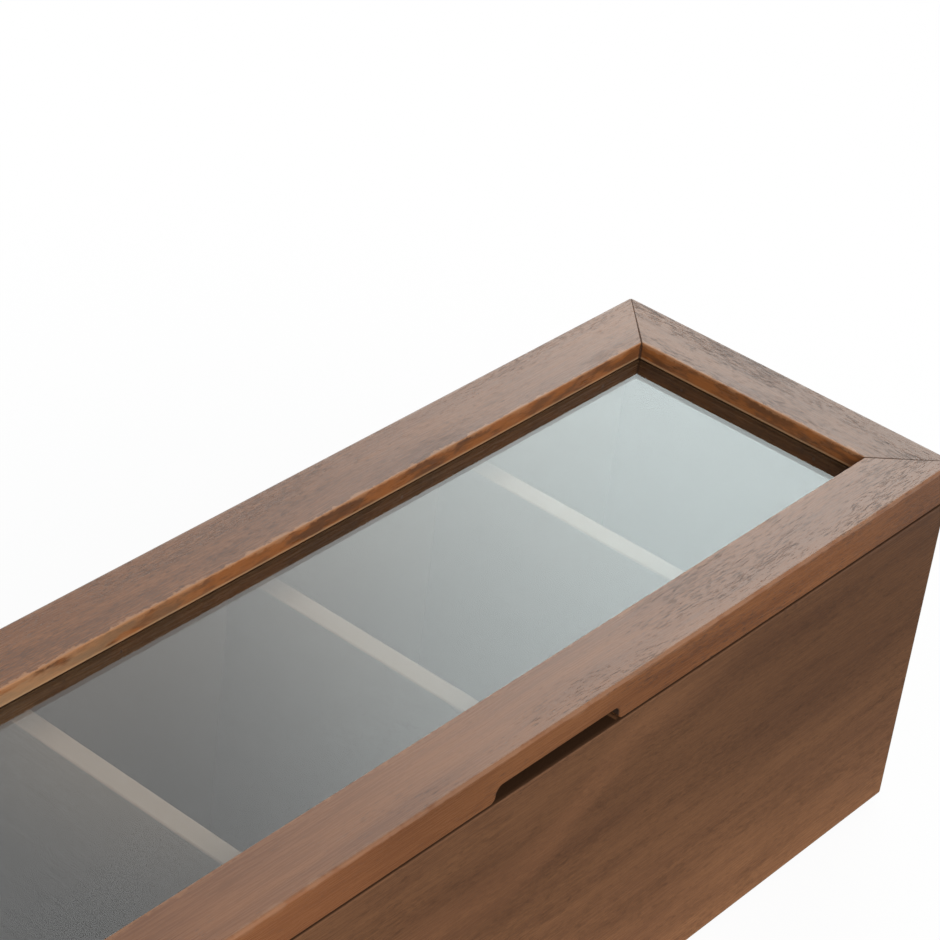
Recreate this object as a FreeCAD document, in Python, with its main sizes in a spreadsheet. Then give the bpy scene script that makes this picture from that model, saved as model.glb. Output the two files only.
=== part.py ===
import FreeCAD, Part

import os
import re

import Sketcher

# A tea box with four compartments and a hinged lid that is glazed with one clear pane.
# Lengths are in millimetres and angles in degrees. +X runs along the box to its right end,
# +Y to its back, where the hinges are, and +Z up. The origin is the middle of the footprint,
# on the surface that the box stands on.

SIZES = [
    # shell: four mitred walls round a bottom panel
    ("box_length", 300, "overall length, end to end"),
    ("box_depth", 100, "overall depth, front to back"),
    ("shell_height", 90.8, "height of the walls"),
    ("wall_thickness", 7, "thickness of the walls"),
    ("corner_round", 1.2, "radius of the upright outer corners"),
    ("shell_edge_round", 0.8, "radius of the walls' outer top and bottom edges"),
    ("panel_thickness", 4, "thickness of the bottom panel"),
    ("panel_seat", 3.5, "width of the rebate that holds the bottom panel"),
    ("glue_gap", 0.05, "room for glue on each side of a joint"),
    # dividers
    ("divider_thickness", 5.5, "thickness of a divider"),
    ("slot_depth", 2.5, "how far a divider enters the front and back walls"),
    ("divider_edge_round", 0.5, "radius of a divider's top edges"),
    # feet
    ("pad_radius", 6, "radius of a foot pad"),
    ("pad_thickness", 1.5, "thickness of a foot pad"),
    ("pad_inset", 15, "from the sides of the box to the middle of a foot pad"),
    ("pad_edge_round", 0.3, "radius of a foot pad's rim"),
    # lid frame
    ("seam_gap", 0.4, "gap between the closed lid and the walls"),
    ("lid_thickness", 10.8, "thickness of the lid's rails"),
    ("rail_width", 16, "width of the lid's rails"),
    ("lip_thickness", 4.7, "thickness of the lip above the glass"),
    ("lid_edge_round", 0.9, "radius of the lid's outer top edges"),
    ("lid_under_round", 0.4, "radius of the lid's outer bottom edges"),
    ("lip_round", 0.3, "radius of the lip's edges round the glass"),
    # glazing
    ("rebate_width", 5, "width of the rebate for the glass and its beads"),
    ("glass_thickness", 1.5, "thickness of the pane"),
    ("glass_play", 0.5, "room round the pane's edges"),
    ("bead_reveal", 0.3, "how far a bead stays back from the lip's edge"),
    ("bead_recess", 0.2, "how far a bead stays above the rails' underside"),
    ("brad_radius", 0.45, "radius of a brad"),
    ("brad_length", 9, "length of a brad"),
    ("brad_margin", 14, "from the end of a bead's inner edge to its last brad"),
    ("brad_middle", 45, "from the middle of a long bead to its inner brads"),
    # finger notch in the front rail
    ("notch_width", 40.8, "width between the notch's upright sides"),
    ("notch_height", 3.8, "height of the notch"),
    ("notch_flare", 1.8, "radius where a side runs out into the underside"),
    ("notch_fillet", 1.9, "radius between a side and the notch's ceiling"),
    # nails across the lid's mitres
    ("nail_leg", 4.5, "length of each leg"),
    ("nail_gauge", 0.5, "thickness of a leg"),
    ("nail_height", 6, "height of the nail"),
    ("nail_inset", 5, "from the rails' outer faces to the nail"),
    ("nail_sink", 0.3, "how far the nail is driven below the surface"),
    # bumpers
    ("bumper_radius", 2.5, "radius of a bumper"),
    ("bumper_thickness", 1, "thickness of a bumper"),
    ("bumper_inset", 15, "from the end of the box to the middle of a bumper"),
    ("bumper_edge_round", 0.15, "radius of a bumper's rim"),
    # hinges
    ("lid_opening", 100, "angle at which the bevelled back edges stop the lid"),
    ("stop_gap", 0.02, "from each bevel to the hinge line, square to the bevel"),
    ("hinge_end", 50, "from the end of the box to the middle of a hinge"),
    ("hinge_length", 22, "length of a hinge along its pin"),
    ("hinge_inset", 1.5, "from the back of the box to the hinge line"),
    ("barrel_radius", 1.5, "radius of a knuckle"),
    ("knuckle_length", 8, "length of the middle knuckle"),
    ("knuckle_gap", 0.15, "gap between knuckles along the pin"),
    ("knuckle_room", 0.3, "room round a knuckle"),
    ("pin_radius", 0.7, "radius of the hinge pin"),
    ("pin_play", 0.05, "running clearance of the pin in the middle knuckle"),
    ("pin_chamfer", 0.15, "chamfer of the pin's ends"),
    ("leaf_thickness", 0.8, "thickness of a leaf"),
    ("leaf_reach", 4.7, "from the hinge line to a leaf's edge"),
    ("leaf_corner", 0.6, "radius of a leaf's corners"),
    ("mortise_play", 0.05, "room round a leaf in its mortise"),
    # hinge screws
    ("screw_spacing", 14, "between the two screws of a leaf"),
    ("screw_setback", 3.4, "from the hinge line to a screw"),
    ("screw_head_radius", 1.1, "radius of a countersunk head"),
    ("screw_radius", 0.6, "radius of the shank"),
    ("screw_length", 6, "length of a screw with its head"),
    ("screw_tip", 1, "length of the pointed tip"),
    ("screw_slot_width", 0.35, "width of the driver slot"),
    ("screw_slot_depth", 0.25, "depth of the driver slot"),
]
ALIASES = [alias for alias, value, meaning in SIZES]

# Cutters reach this far past the wood that they cut.
CUTTER_MARGIN = 1
# Two places closer than this are the same place.
TOLERANCE = 0.001

# Signs of the halves of the box, as expressions need them.
SIDES = {"left": "-", "right": ""}
ENDS = {"front": "-", "back": ""}
# Steps of the dividers from the middle of the box.
DIVIDER_STEPS = {"left": -1, "centre": 0, "right": 1}

# Heights and places that follow from the sizes.
HALF_LENGTH = "(box_length / 2)"
HALF_DEPTH = "(box_depth / 2)"
RIM = "(pad_thickness + shell_height)"
PANEL_TOP = "(pad_thickness + panel_thickness)"
LID_UNDER = f"({RIM} + seam_gap)"
LID_TOP = f"({LID_UNDER} + lid_thickness)"
GLASS_TOP = f"({LID_TOP} - lip_thickness)"
GLASS_UNDER = f"({GLASS_TOP} - glass_thickness)"
BEAD_UNDER = f"({LID_UNDER} + bead_recess)"
REBATE_EDGE = "(rail_width - rebate_width)"
BEAD_EDGE = "(rail_width - bead_reveal)"
HINGE_X = f"({HALF_LENGTH} - hinge_end)"
HINGE_Y = f"({HALF_DEPTH} - hinge_inset)"
HINGE_Z = f"({RIM} + seam_gap / 2)"
BEVEL_SLOPE = "(lid_opening / 2)"
BARREL_ROOM = "(barrel_radius + knuckle_room)"
COMPARTMENT = (
    f"((box_length - 2 * wall_thickness - {len(DIVIDER_STEPS)} * divider_thickness)"
    f" / {len(DIVIDER_STEPS) + 1})"
)
DIVIDER_PITCH = f"({COMPARTMENT} + divider_thickness)"

doc = FreeCAD.newDocument("TeaBox")
sheet = doc.addObject("Spreadsheet::Sheet", "Sizes")
for row, (alias, value, meaning) in enumerate(SIZES, 1):
    sheet.set(f"A{row}", meaning)
    sheet.set(f"B{row}", str(value))
    sheet.setAlias(f"B{row}", alias)
doc.recompute()


# Expressions

def cells(text):
    """Point each size named in an expression at its cell in the sheet."""
    return re.sub(
        r"[a-z_]+",
        lambda word: f"Sizes.{word.group()}" if word.group() in ALIASES else word.group(),
        text,
    )


def number(text):
    """What an expression comes to now."""
    return float(sheet.evalExpression(cells(text)))


def bind(item, path, text):
    """Tie a property to the sheet."""
    item.setExpression(path, cells(text))


def place(item, x="0", y="0", z="0"):
    """Tie a piece's position to the sheet."""
    for axis, text in (("x", x), ("y", y), ("z", z)):
        bind(item, f".Placement.Base.{axis}", text)


# Sketches

def new_body(name):
    return doc.addObject("PartDesign::Body", name)


def origin_plane(body, role):
    return next(item for item in body.Origin.OriginFeatures if item.Role == role)


def new_sketch(body, name, role="XY_Plane", offset="0"):
    """A sketch on one of the body's own planes, moved along the plane's normal."""
    sketch = body.newObject("Sketcher::SketchObject", name)
    sketch.AttachmentSupport = (origin_plane(body, role), [""])
    sketch.MapMode = "FlatFace"
    bind(sketch, ".AttachmentOffset.Base.z", offset)
    return sketch


def hold_point(sketch, edge, end, x, y):
    """Hold an end of an edge, or its centre, at x, y."""
    for kind, axis, text in (("DistanceX", -2, x), ("DistanceY", -1, y)):
        if text == "0":
            sketch.addConstraint(Sketcher.Constraint("PointOnObject", edge, end, axis))
            continue
        rule = Sketcher.Constraint(kind, -1, 1, edge, end, number(text))
        bind(sketch, f"Constraints[{sketch.addConstraint(rule)}]", text)


def hold_radius(sketch, edge, radius):
    rule = Sketcher.Constraint("Radius", edge, number(radius))
    bind(sketch, f"Constraints[{sketch.addConstraint(rule)}]", radius)


def outline(sketch, corners):
    """Close an outline through its corners, each an (x, y) pair.

    Where an arc leaves a corner, the corner also holds the arc's centre x, y and radius.
    """
    edges = []
    for index, corner in enumerate(corners):
        after = corners[(index + 1) % len(corners)]
        start = FreeCAD.Vector(number(corner[0]), number(corner[1]), 0)
        stop = FreeCAD.Vector(number(after[0]), number(after[1]), 0)
        if len(corner) == 2:
            edges.append((sketch.addGeometry(Part.LineSegment(start, stop)), 1, 2))
            continue
        centre = FreeCAD.Vector(number(corner[2]), number(corner[3]), 0)
        circle = Part.Circle(centre, FreeCAD.Vector(0, 0, 1), number(corner[4]))
        turns_left = (start - centre).cross(stop - centre).z > 0
        first, last = (start, stop) if turns_left else (stop, start)
        arc = Part.ArcOfCircle(circle, circle.parameter(first), circle.parameter(last))
        ends = (1, 2) if turns_left else (2, 1)
        edges.append((sketch.addGeometry(arc), *ends))
    for index, (edge, head, tail) in enumerate(edges):
        next_edge, next_head, next_tail = edges[(index + 1) % len(edges)]
        joint = Sketcher.Constraint("Coincident", edge, tail, next_edge, next_head)
        sketch.addConstraint(joint)
        hold_point(sketch, edge, head, corners[index][0], corners[index][1])
        if len(corners[index]) > 2:
            hold_radius(sketch, edge, corners[index][4])


def rectangle(sketch, left, right, front, back):
    outline(sketch, [(left, front), (right, front), (right, back), (left, back)])


def inset_rectangle(sketch, inset):
    """A rectangle that stays inside the footprint by the same distance all round."""
    rectangle(
        sketch,
        f"-({HALF_LENGTH} - {inset})",
        f"{HALF_LENGTH} - {inset}",
        f"-({HALF_DEPTH} - {inset})",
        f"{HALF_DEPTH} - {inset}",
    )


def circle(sketch, x, y, radius):
    centre = FreeCAD.Vector(number(x), number(y), 0)
    round_edge = Part.Circle(centre, FreeCAD.Vector(0, 0, 1), number(radius))
    edge = sketch.addGeometry(round_edge)
    hold_point(sketch, edge, 3, x, y)
    hold_radius(sketch, edge, radius)


# Features

def extrude(body, kind, sketch, length, reverse, symmetric):
    feature = body.newObject(f"PartDesign::{kind}", f"{sketch.Name}_{kind.lower()}")
    feature.Profile = sketch
    feature.Reversed = reverse
    feature.Midplane = symmetric
    bind(feature, "Length", length)
    body.Tip = feature
    return feature


def pad(body, sketch, length, reverse=False, symmetric=False):
    """Add along the sketch's normal, or against it where reverse is set."""
    return extrude(body, "Pad", sketch, length, reverse, symmetric)


def pocket(body, sketch, depth, reverse=False, symmetric=False):
    """Cut against the sketch's normal, or along it where reverse is set."""
    return extrude(body, "Pocket", sketch, depth, reverse, symmetric)


def edges_where(shape, test):
    """Names of the edges whose ends and middle all pass the test."""
    names = []
    for index, edge in enumerate(shape.Edges, 1):
        first, last = edge.ParameterRange
        points = [edge.valueAt(first), edge.valueAt((first + last) / 2), edge.valueAt(last)]
        if all(test(point) for point in points):
            names.append(f"Edge{index}")
    return names


def near(value, target):
    return abs(value - target) < TOLERANCE


def dress(body, kind, name, size, test):
    """Round or chamfer the edges that pass the test."""
    doc.recompute()
    base = body.Tip
    feature = body.newObject(f"PartDesign::{kind}", name)
    feature.Base = (base, edges_where(base.Shape, test))
    bind(feature, "Radius" if kind == "Fillet" else "Size", size)
    body.Tip = feature
    return feature


def mirror_left(body, name, features):
    """Repeat cuts of the right half on the left half."""
    feature = body.newObject("PartDesign::Mirrored", name)
    feature.Originals = features
    feature.MirrorPlane = (origin_plane(body, "YZ_Plane"), [""])
    body.Tip = feature
    return feature


def block(name, length, depth, underside, height):
    """A rectangular block centred on the footprint's middle."""
    body = new_body(name)
    plan = new_sketch(body, f"{name}_plan", offset=underside)
    half_length = f"({length}) / 2"
    half_depth = f"({depth}) / 2"
    rectangle(plan, f"-{half_length}", half_length, f"-{half_depth}", half_depth)
    pad(body, plan, height)
    return body


def disc(name, radius, thickness, edge_round):
    """A soft disc with rounded rims, standing on its own origin."""
    body = new_body(name)
    plan = new_sketch(body, f"{name}_plan")
    circle(plan, "0", "0", radius)
    pad(body, plan, thickness)
    dress(body, "Fillet", f"{name}_rims", edge_round, lambda point: True)
    return body


def group(name, pieces):
    """Identical fasteners kept together as separate solids."""
    compound = doc.addObject("Part::Compound", name)
    compound.Links = pieces
    return compound


def combine(kind, name, base, tool):
    """The Cut or Common of two shapes."""
    result = doc.addObject(f"Part::{kind}", name)
    result.Base = base
    result.Tool = tool
    return result


# Rounded outer edges that walls and lid share

def round_corners(body):
    """Round a block's four upright edges."""
    half_length = number(HALF_LENGTH)
    half_depth = number(HALF_DEPTH)

    def is_upright(point):
        return near(abs(point.x), half_length) and near(abs(point.y), half_depth)

    dress(body, "Fillet", f"{body.Name}_corners", "corner_round", is_upright)


def round_rim(body, name, level, size):
    """Round a block's outer edges at one level."""
    height = number(level)
    dress(body, "Fillet", f"{body.Name}_{name}", size, lambda point: near(point.z, height))


# Seats for the hinges and the bevel that stops the lid

def cut_back_bevel(body, side):
    """Bevel the back edge at the seam: side is -1 for the walls and 1 for the lid.

    Both bevels lie just inside a plane through the hinge line, so that they meet when the
    lid has turned through twice their slope.
    """
    rise = "(seam_gap + lid_under_round)"
    outside = f"({HALF_DEPTH} + {CUTTER_MARGIN})"
    tip_y = f"{HINGE_Y} - (stop_gap + {rise} * cos({BEVEL_SLOPE})) / sin({BEVEL_SLOPE})"
    run = f"(hinge_inset + {CUTTER_MARGIN})"
    drop = f"(stop_gap + {run} * sin({BEVEL_SLOPE})) / cos({BEVEL_SLOPE})"
    section = new_sketch(body, f"{body.Name}_bevel", "YZ_Plane")
    outline(section, [
        (tip_y, f"{HINGE_Z} - {side} * {rise}"),
        (outside, f"{HINGE_Z} - {side} * {rise}"),
        (outside, f"{HINGE_Z} + {side} * {drop}"),
    ])
    pocket(body, section, f"box_length + {CUTTER_MARGIN}", symmetric=True)


def cut_hinge_seats(body, side):
    """Sink both hinges into the wood below the seam (side -1) or above it (side 1)."""
    reach = "(hinge_length / 2 + mortise_play)"
    mortise = new_sketch(
        body, f"{body.Name}_mortise", offset=f"{HINGE_Z} + {side} * seam_gap / 2"
    )
    rectangle(
        mortise,
        f"{HINGE_X} - {reach}",
        f"{HINGE_X} + {reach}",
        f"{HINGE_Y} - leaf_reach - mortise_play",
        HINGE_Y,
    )
    mortise_cut = pocket(body, mortise, "leaf_thickness", reverse=side > 0)
    barrel = new_sketch(
        body, f"{body.Name}_barrel", "YZ_Plane",
        offset=f"{HINGE_X} + hinge_length / 2 + knuckle_room",
    )
    circle(barrel, HINGE_Y, HINGE_Z, BARREL_ROOM)
    barrel_cut = pocket(body, barrel, "hinge_length + 2 * knuckle_room")
    mirror_left(body, f"{body.Name}_left_hinge", [mortise_cut, barrel_cut])


# Mitres: four wedges divide a frame into its rails

def mitre_wedge(name, corners, turn):
    body = new_body(name)
    plan = new_sketch(body, f"{name}_plan")
    outline(plan, corners)
    pad(body, plan, f"{LID_TOP} + {CUTTER_MARGIN}")
    body.Placement.Rotation = FreeCAD.Rotation(FreeCAD.Vector(0, 0, 1), turn)
    return body


far_x = f"({HALF_LENGTH} + {CUTTER_MARGIN})"
far_y = f"({HALF_DEPTH} + {CUTTER_MARGIN})"
ridge_x = f"({HALF_LENGTH} - {HALF_DEPTH})"
long_wedge = [
    (f"-{far_x}", f"-{far_y}"),
    (far_x, f"-{far_y}"),
    (ridge_x, "0"),
    (f"-{ridge_x}", "0"),
]
end_wedge = [(far_x, f"-{far_y}"), (far_x, far_y), (ridge_x, "0")]
WEDGES = {
    "front": mitre_wedge("front_wedge", long_wedge, 0),
    "back": mitre_wedge("back_wedge", long_wedge, 180),
    "right": mitre_wedge("right_wedge", end_wedge, 0),
    "left": mitre_wedge("left_wedge", end_wedge, 180),
}


def divide(frame, labels):
    """Cut a frame into four pieces at its mitres."""
    return [combine("Common", label, frame, WEDGES[side]) for side, label in labels.items()]


# Hinges. Each piece is made round its own hinge line, with the seam level at z = 0.

def hinge_leaf(name, middle_knuckle):
    """A leaf whose show face looks up, with the middle knuckle or the two outer ones."""
    body = new_body(name)
    half = "(hinge_length / 2)"
    inner = "(knuckle_length / 2)" if middle_knuckle else "(knuckle_length / 2 + knuckle_gap)"
    plan = new_sketch(body, f"{name}_plan", offset="-seam_gap / 2")
    front = "-leaf_reach"
    clear = f"-{BARREL_ROOM}"
    if middle_knuckle:
        back_edge = [(half, clear), (inner, clear), (inner, "0"),
                     (f"-{inner}", "0"), (f"-{inner}", clear), (f"-{half}", clear)]
    else:
        back_edge = [(half, "0"), (inner, "0"), (inner, clear),
                     (f"-{inner}", clear), (f"-{inner}", "0"), (f"-{half}", "0")]
    outline(plan, [(f"-{half}", front), (half, front)] + back_edge)
    pad(body, plan, "leaf_thickness", reverse=True)
    half_now = number(half)
    front_now = number(front)
    dress(
        body, "Fillet", f"{name}_corners", "leaf_corner",
        lambda point: near(abs(point.x), half_now) and near(point.y, front_now),
    )
    if middle_knuckle:
        knuckles = {"middle": (f"-{inner}", f"2 * {inner}")}
    else:
        outer_length = f"{half} - {inner}"
        knuckles = {"left": (f"-{half}", outer_length), "right": (inner, outer_length)}
    for side, (start, length) in knuckles.items():
        section = new_sketch(body, f"{name}_{side}_knuckle", "YZ_Plane", offset=start)
        circle(section, "0", "0", "barrel_radius")
        pad(body, section, length)
    bore = new_sketch(body, f"{name}_bore", "YZ_Plane")
    circle(bore, "0", "0", "pin_radius + pin_play" if middle_knuckle else "pin_radius")
    pocket(body, bore, f"hinge_length + {CUTTER_MARGIN}", symmetric=True)
    holes = new_sketch(body, f"{name}_holes", offset="-seam_gap / 2")
    for sign in SIDES.values():
        circle(holes, f"{sign}screw_spacing / 2", "-screw_setback", "screw_radius")
    pocket(body, holes, "leaf_thickness")
    show_face = number("-seam_gap / 2")
    spacing = number("screw_spacing / 2")
    setback = number("screw_setback")
    radius = number("screw_radius")

    def is_hole_rim(point):
        from_screw = ((abs(point.x) - spacing) ** 2 + (point.y + setback) ** 2) ** 0.5
        return near(point.z, show_face) and near(from_screw, radius)

    dress(
        body, "Chamfer", f"{name}_countersinks", "screw_head_radius - screw_radius", is_hole_rim
    )
    return body


def hinge_screw(name):
    """A countersunk wood screw that points down, with its head's face at z = 0."""
    body = new_body(name)
    profile = new_sketch(body, f"{name}_profile", "XZ_Plane")
    head_height = "(screw_head_radius - screw_radius)"
    outline(profile, [
        ("0", "0"),
        ("0", "-screw_length"),
        ("screw_radius", "-(screw_length - screw_tip)"),
        ("screw_radius", f"-{head_height}"),
        ("screw_head_radius", "0"),
    ])
    turned = body.newObject("PartDesign::Revolution", f"{name}_turned")
    turned.Profile = profile
    turned.ReferenceAxis = (profile, ["V_Axis"])
    turned.Angle = 360
    body.Tip = turned
    slot = new_sketch(body, f"{name}_slot")
    rectangle(
        slot,
        "-screw_slot_width / 2",
        "screw_slot_width / 2",
        "-screw_head_radius",
        "screw_head_radius",
    )
    pocket(body, slot, "screw_slot_depth")
    return body


def hinge_pin(name):
    body = new_body(name)
    section = new_sketch(body, f"{name}_section", "YZ_Plane")
    circle(section, "0", "0", "pin_radius")
    pad(body, section, "hinge_length", symmetric=True)
    dress(body, "Chamfer", f"{name}_ends", "pin_chamfer", lambda point: True)
    return body


def turned_over(item):
    """Turn a hinge piece over, from the walls' side of the seam to the lid's."""
    item.Placement.Rotation = FreeCAD.Rotation(FreeCAD.Vector(0, 1, 0), 180)


hinge_pieces = []
for side, sign in SIDES.items():
    body_leaf = hinge_leaf(f"hinge_{side}_body_leaf", middle_knuckle=False)
    lid_leaf = hinge_leaf(f"hinge_{side}_lid_leaf", middle_knuckle=True)
    turned_over(lid_leaf)
    pin = hinge_pin(f"hinge_{side}_pin")
    for piece in (body_leaf, lid_leaf, pin):
        place(piece, f"{sign}{HINGE_X}", HINGE_Y, HINGE_Z)
    hinge_pieces += [body_leaf, lid_leaf, pin]

screw = hinge_screw("hinge_screw")


def screw_group(name, side):
    """Both leaves' screws in the walls (side -1) or in the lid (side 1)."""
    screws = []
    for hinge_side, sign in SIDES.items():
        for screw_side, shift in (("left", "-"), ("right", "+")):
            link = doc.addObject("App::Link", f"{name}_{hinge_side}_{screw_side}")
            link.LinkedObject = screw
            if side > 0:
                turned_over(link)
            place(
                link,
                f"{sign}{HINGE_X} {shift} screw_spacing / 2",
                f"{HINGE_Y} - screw_setback",
                f"{HINGE_Z} + {side} * seam_gap / 2",
            )
            screws.append(link)
    return group(name, screws)


body_screws = screw_group("hinge_body_screws", -1)
lid_screws = screw_group("hinge_lid_screws", 1)


# Lid hardware

def corner_nails(name):
    """One bent nail across each mitre, driven up from the underside."""
    body = new_body(name)
    body.AllowCompound = True
    plan = new_sketch(body, f"{name}_plan", offset=f"{LID_UNDER} + nail_sink")
    for sign_x in SIDES.values():
        for sign_y in ENDS.values():
            outer_x = f"{sign_x}({HALF_LENGTH} - nail_inset)"
            outer_y = f"{sign_y}({HALF_DEPTH} - nail_inset)"
            inner_x = f"{sign_x}({HALF_LENGTH} - nail_inset - nail_gauge)"
            inner_y = f"{sign_y}({HALF_DEPTH} - nail_inset - nail_gauge)"
            end_x = f"{sign_x}({HALF_LENGTH} - nail_inset - nail_leg)"
            end_y = f"{sign_y}({HALF_DEPTH} - nail_inset - nail_leg)"
            outline(plan, [
                (outer_x, outer_y), (end_x, outer_y), (end_x, inner_y),
                (inner_x, inner_y), (inner_x, end_y), (outer_x, end_y),
            ])
    pad(body, plan, "nail_height")
    return body


def brad(name, along, x, y):
    """A headless brad whose visible end is at x, y; along names the way it is driven."""
    pin = doc.addObject("Part::Cylinder", name)
    bind(pin, "Radius", "brad_radius")
    bind(pin, "Height", "brad_length")
    pin.Placement.Rotation = FreeCAD.Rotation(FreeCAD.Vector(0, 0, 1), along)
    place(pin, x, y, f"({BEAD_UNDER} + {GLASS_UNDER}) / 2")
    return pin


def bead_brads(name):
    """The brads that hold the beads: four in each long bead and two in each short one."""
    inner_x = f"({HALF_LENGTH} - {BEAD_EDGE})"
    inner_y = f"({HALF_DEPTH} - {BEAD_EDGE})"
    brads = []
    for side, sign_x in SIDES.items():
        for end, sign_y in ENDS.items():
            outward_x = FreeCAD.Vector(-1 if sign_x else 1, 0, 0)
            outward_y = FreeCAD.Vector(0, -1 if sign_y else 1, 0)
            bead_x = f"{sign_x}{inner_x}"
            bead_y = f"{sign_y}{inner_y}"
            short_y = f"{sign_y}({inner_y} - brad_margin)"
            long_x = f"{sign_x}({inner_x} - brad_margin)"
            middle_x = f"{sign_x}brad_middle"
            brads += [
                brad(f"{name}_{side}_{end}_short", outward_x, bead_x, short_y),
                brad(f"{name}_{side}_{end}_long", outward_y, long_x, bead_y),
                brad(f"{name}_{side}_{end}_middle", outward_y, middle_x, bead_y),
            ]
    return group(name, brads)


nails = corner_nails("lid_corner_nails")
brads = bead_brads("bead_pins")
bumpers = []
for side, sign in SIDES.items():
    bumper = disc(f"lid_bumper_{side}", "bumper_radius", "bumper_thickness", "bumper_edge_round")
    place(
        bumper,
        f"{sign}({HALF_LENGTH} - bumper_inset)",
        f"-({HALF_DEPTH} - wall_thickness / 2)",
        RIM,
    )
    bumpers.append(bumper)


# Shell: the walls are one frame until the mitres divide it

def wall_frame():
    body = block("wall_frame", "box_length", "box_depth", "pad_thickness", "shell_height")
    round_corners(body)
    round_rim(body, "top", RIM, "shell_edge_round")
    round_rim(body, "foot", "pad_thickness", "shell_edge_round")
    inside = new_sketch(body, "wall_inside", offset=RIM)
    inset_rectangle(inside, "wall_thickness")
    pocket(body, inside, "shell_height")
    seat = new_sketch(body, "panel_seat_plan", offset="pad_thickness")
    inset_rectangle(seat, "(wall_thickness - panel_seat)")
    pocket(body, seat, "panel_thickness", reverse=True)
    slots = new_sketch(body, "divider_slots", offset=RIM)
    slot_end = f"({HALF_DEPTH} - wall_thickness + slot_depth)"
    for step in DIVIDER_STEPS.values():
        middle = f"{step} * {DIVIDER_PITCH}"
        half = "(divider_thickness / 2 + glue_gap)"
        rectangle(slots, f"{middle} - {half}", f"{middle} + {half}", f"-{slot_end}", slot_end)
    pocket(body, slots, f"{RIM} - {PANEL_TOP}")
    cut_back_bevel(body, -1)
    cut_hinge_seats(body, -1)
    return body


walls = divide(
    combine("Cut", "wall_frame_drilled", wall_frame(), body_screws),
    {
        "front": "front_wall",
        "back": "back_wall",
        "left": "left_end_wall",
        "right": "right_end_wall",
    },
)

panel_inset = "2 * (wall_thickness - panel_seat + glue_gap)"
bottom_panel = block(
    "bottom_panel",
    f"box_length - {panel_inset}",
    f"box_depth - {panel_inset}",
    "pad_thickness",
    "panel_thickness",
)

dividers = []
for name, step in DIVIDER_STEPS.items():
    divider = block(
        f"divider_{name}",
        "divider_thickness",
        "box_depth - 2 * (wall_thickness - slot_depth + glue_gap)",
        PANEL_TOP,
        f"{RIM} - {PANEL_TOP}",
    )
    rim_now = number(RIM)
    half_now = number("divider_thickness / 2")
    dress(
        divider, "Fillet", f"divider_{name}_top", "divider_edge_round",
        lambda point: near(point.z, rim_now) and near(abs(point.x), half_now),
    )
    place(divider, f"{step} * {DIVIDER_PITCH}")
    dividers.append(divider)

pads = []
for end, sign_y in ENDS.items():
    for side, sign_x in SIDES.items():
        foot = disc(f"foot_pad_{end}_{side}", "pad_radius", "pad_thickness", "pad_edge_round")
        place(foot, f"{sign_x}({HALF_LENGTH} - pad_inset)", f"{sign_y}({HALF_DEPTH} - pad_inset)")
        pads.append(foot)


# Lid: the rails are one frame until the mitres divide it, and so are the beads

def cut_finger_notch(body):
    """A shallow notch through the front rail's lower edge, its ends softly curved."""
    section = new_sketch(body, "notch_section", "XZ_Plane", offset=HALF_DEPTH)
    side = "(notch_width / 2)"
    flared = f"({side} + notch_flare)"
    ceiling_end = f"({side} - notch_fillet)"
    ceiling = f"({LID_UNDER} + notch_height)"
    flare_top = f"({LID_UNDER} + notch_flare)"
    fillet_foot = f"({ceiling} - notch_fillet)"
    below = f"({LID_UNDER} - {CUTTER_MARGIN})"
    outline(section, [
        (f"-{flared}", below),
        (flared, below),
        (flared, LID_UNDER, flared, flare_top, "notch_flare"),
        (side, flare_top),
        (side, fillet_foot, ceiling_end, fillet_foot, "notch_fillet"),
        (ceiling_end, ceiling),
        (f"-{ceiling_end}", ceiling, f"-{ceiling_end}", fillet_foot, "notch_fillet"),
        (f"-{side}", fillet_foot),
        (f"-{side}", flare_top, f"-{flared}", flare_top, "notch_flare"),
        (f"-{flared}", LID_UNDER),
    ])
    pocket(body, section, "rail_width")


def rail_frame():
    body = block("rail_frame", "box_length", "box_depth", LID_UNDER, "lid_thickness")
    round_corners(body)
    round_rim(body, "top", LID_TOP, "lid_edge_round")
    window = new_sketch(body, "window", offset=LID_TOP)
    inset_rectangle(window, "rail_width")
    pocket(body, window, "lid_thickness")
    cut_finger_notch(body)
    outer_x = number(f"{HALF_LENGTH} - corner_round") - TOLERANCE
    outer_y = number(f"{HALF_DEPTH} - corner_round") - TOLERANCE
    front = number(f"-{HALF_DEPTH}")
    under = number(LID_UNDER)
    notch_top = number(f"{LID_UNDER} + notch_height") + TOLERANCE

    def is_lower_edge(point):
        at_outside = abs(point.x) > outer_x or abs(point.y) > outer_y
        round_notch = near(point.y, front) and point.z < notch_top
        return at_outside and (near(point.z, under) or round_notch)

    dress(body, "Fillet", "lower_edges", "lid_under_round", is_lower_edge)
    rebate = new_sketch(body, "rebate", offset=LID_UNDER)
    inset_rectangle(rebate, REBATE_EDGE)
    pocket(body, rebate, "lid_thickness - lip_thickness", reverse=True)
    window_x = number(f"{HALF_LENGTH} - rail_width") + TOLERANCE
    window_y = number(f"{HALF_DEPTH} - rail_width") + TOLERANCE
    lip_levels = number(LID_TOP), number(GLASS_TOP)

    def is_lip_edge(point):
        at_window = abs(point.x) < window_x and abs(point.y) < window_y
        return at_window and any(near(point.z, level) for level in lip_levels)

    dress(body, "Fillet", "lip_edges", "lip_round", is_lip_edge)
    cut_back_bevel(body, 1)
    cut_hinge_seats(body, 1)
    return body


def bead_frame():
    body = new_body("bead_frame")
    plan = new_sketch(body, "bead_plan", offset=BEAD_UNDER)
    inset_rectangle(plan, REBATE_EDGE)
    inset_rectangle(plan, BEAD_EDGE)
    pad(body, plan, f"{GLASS_UNDER} - {BEAD_UNDER}")
    return body


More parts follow.
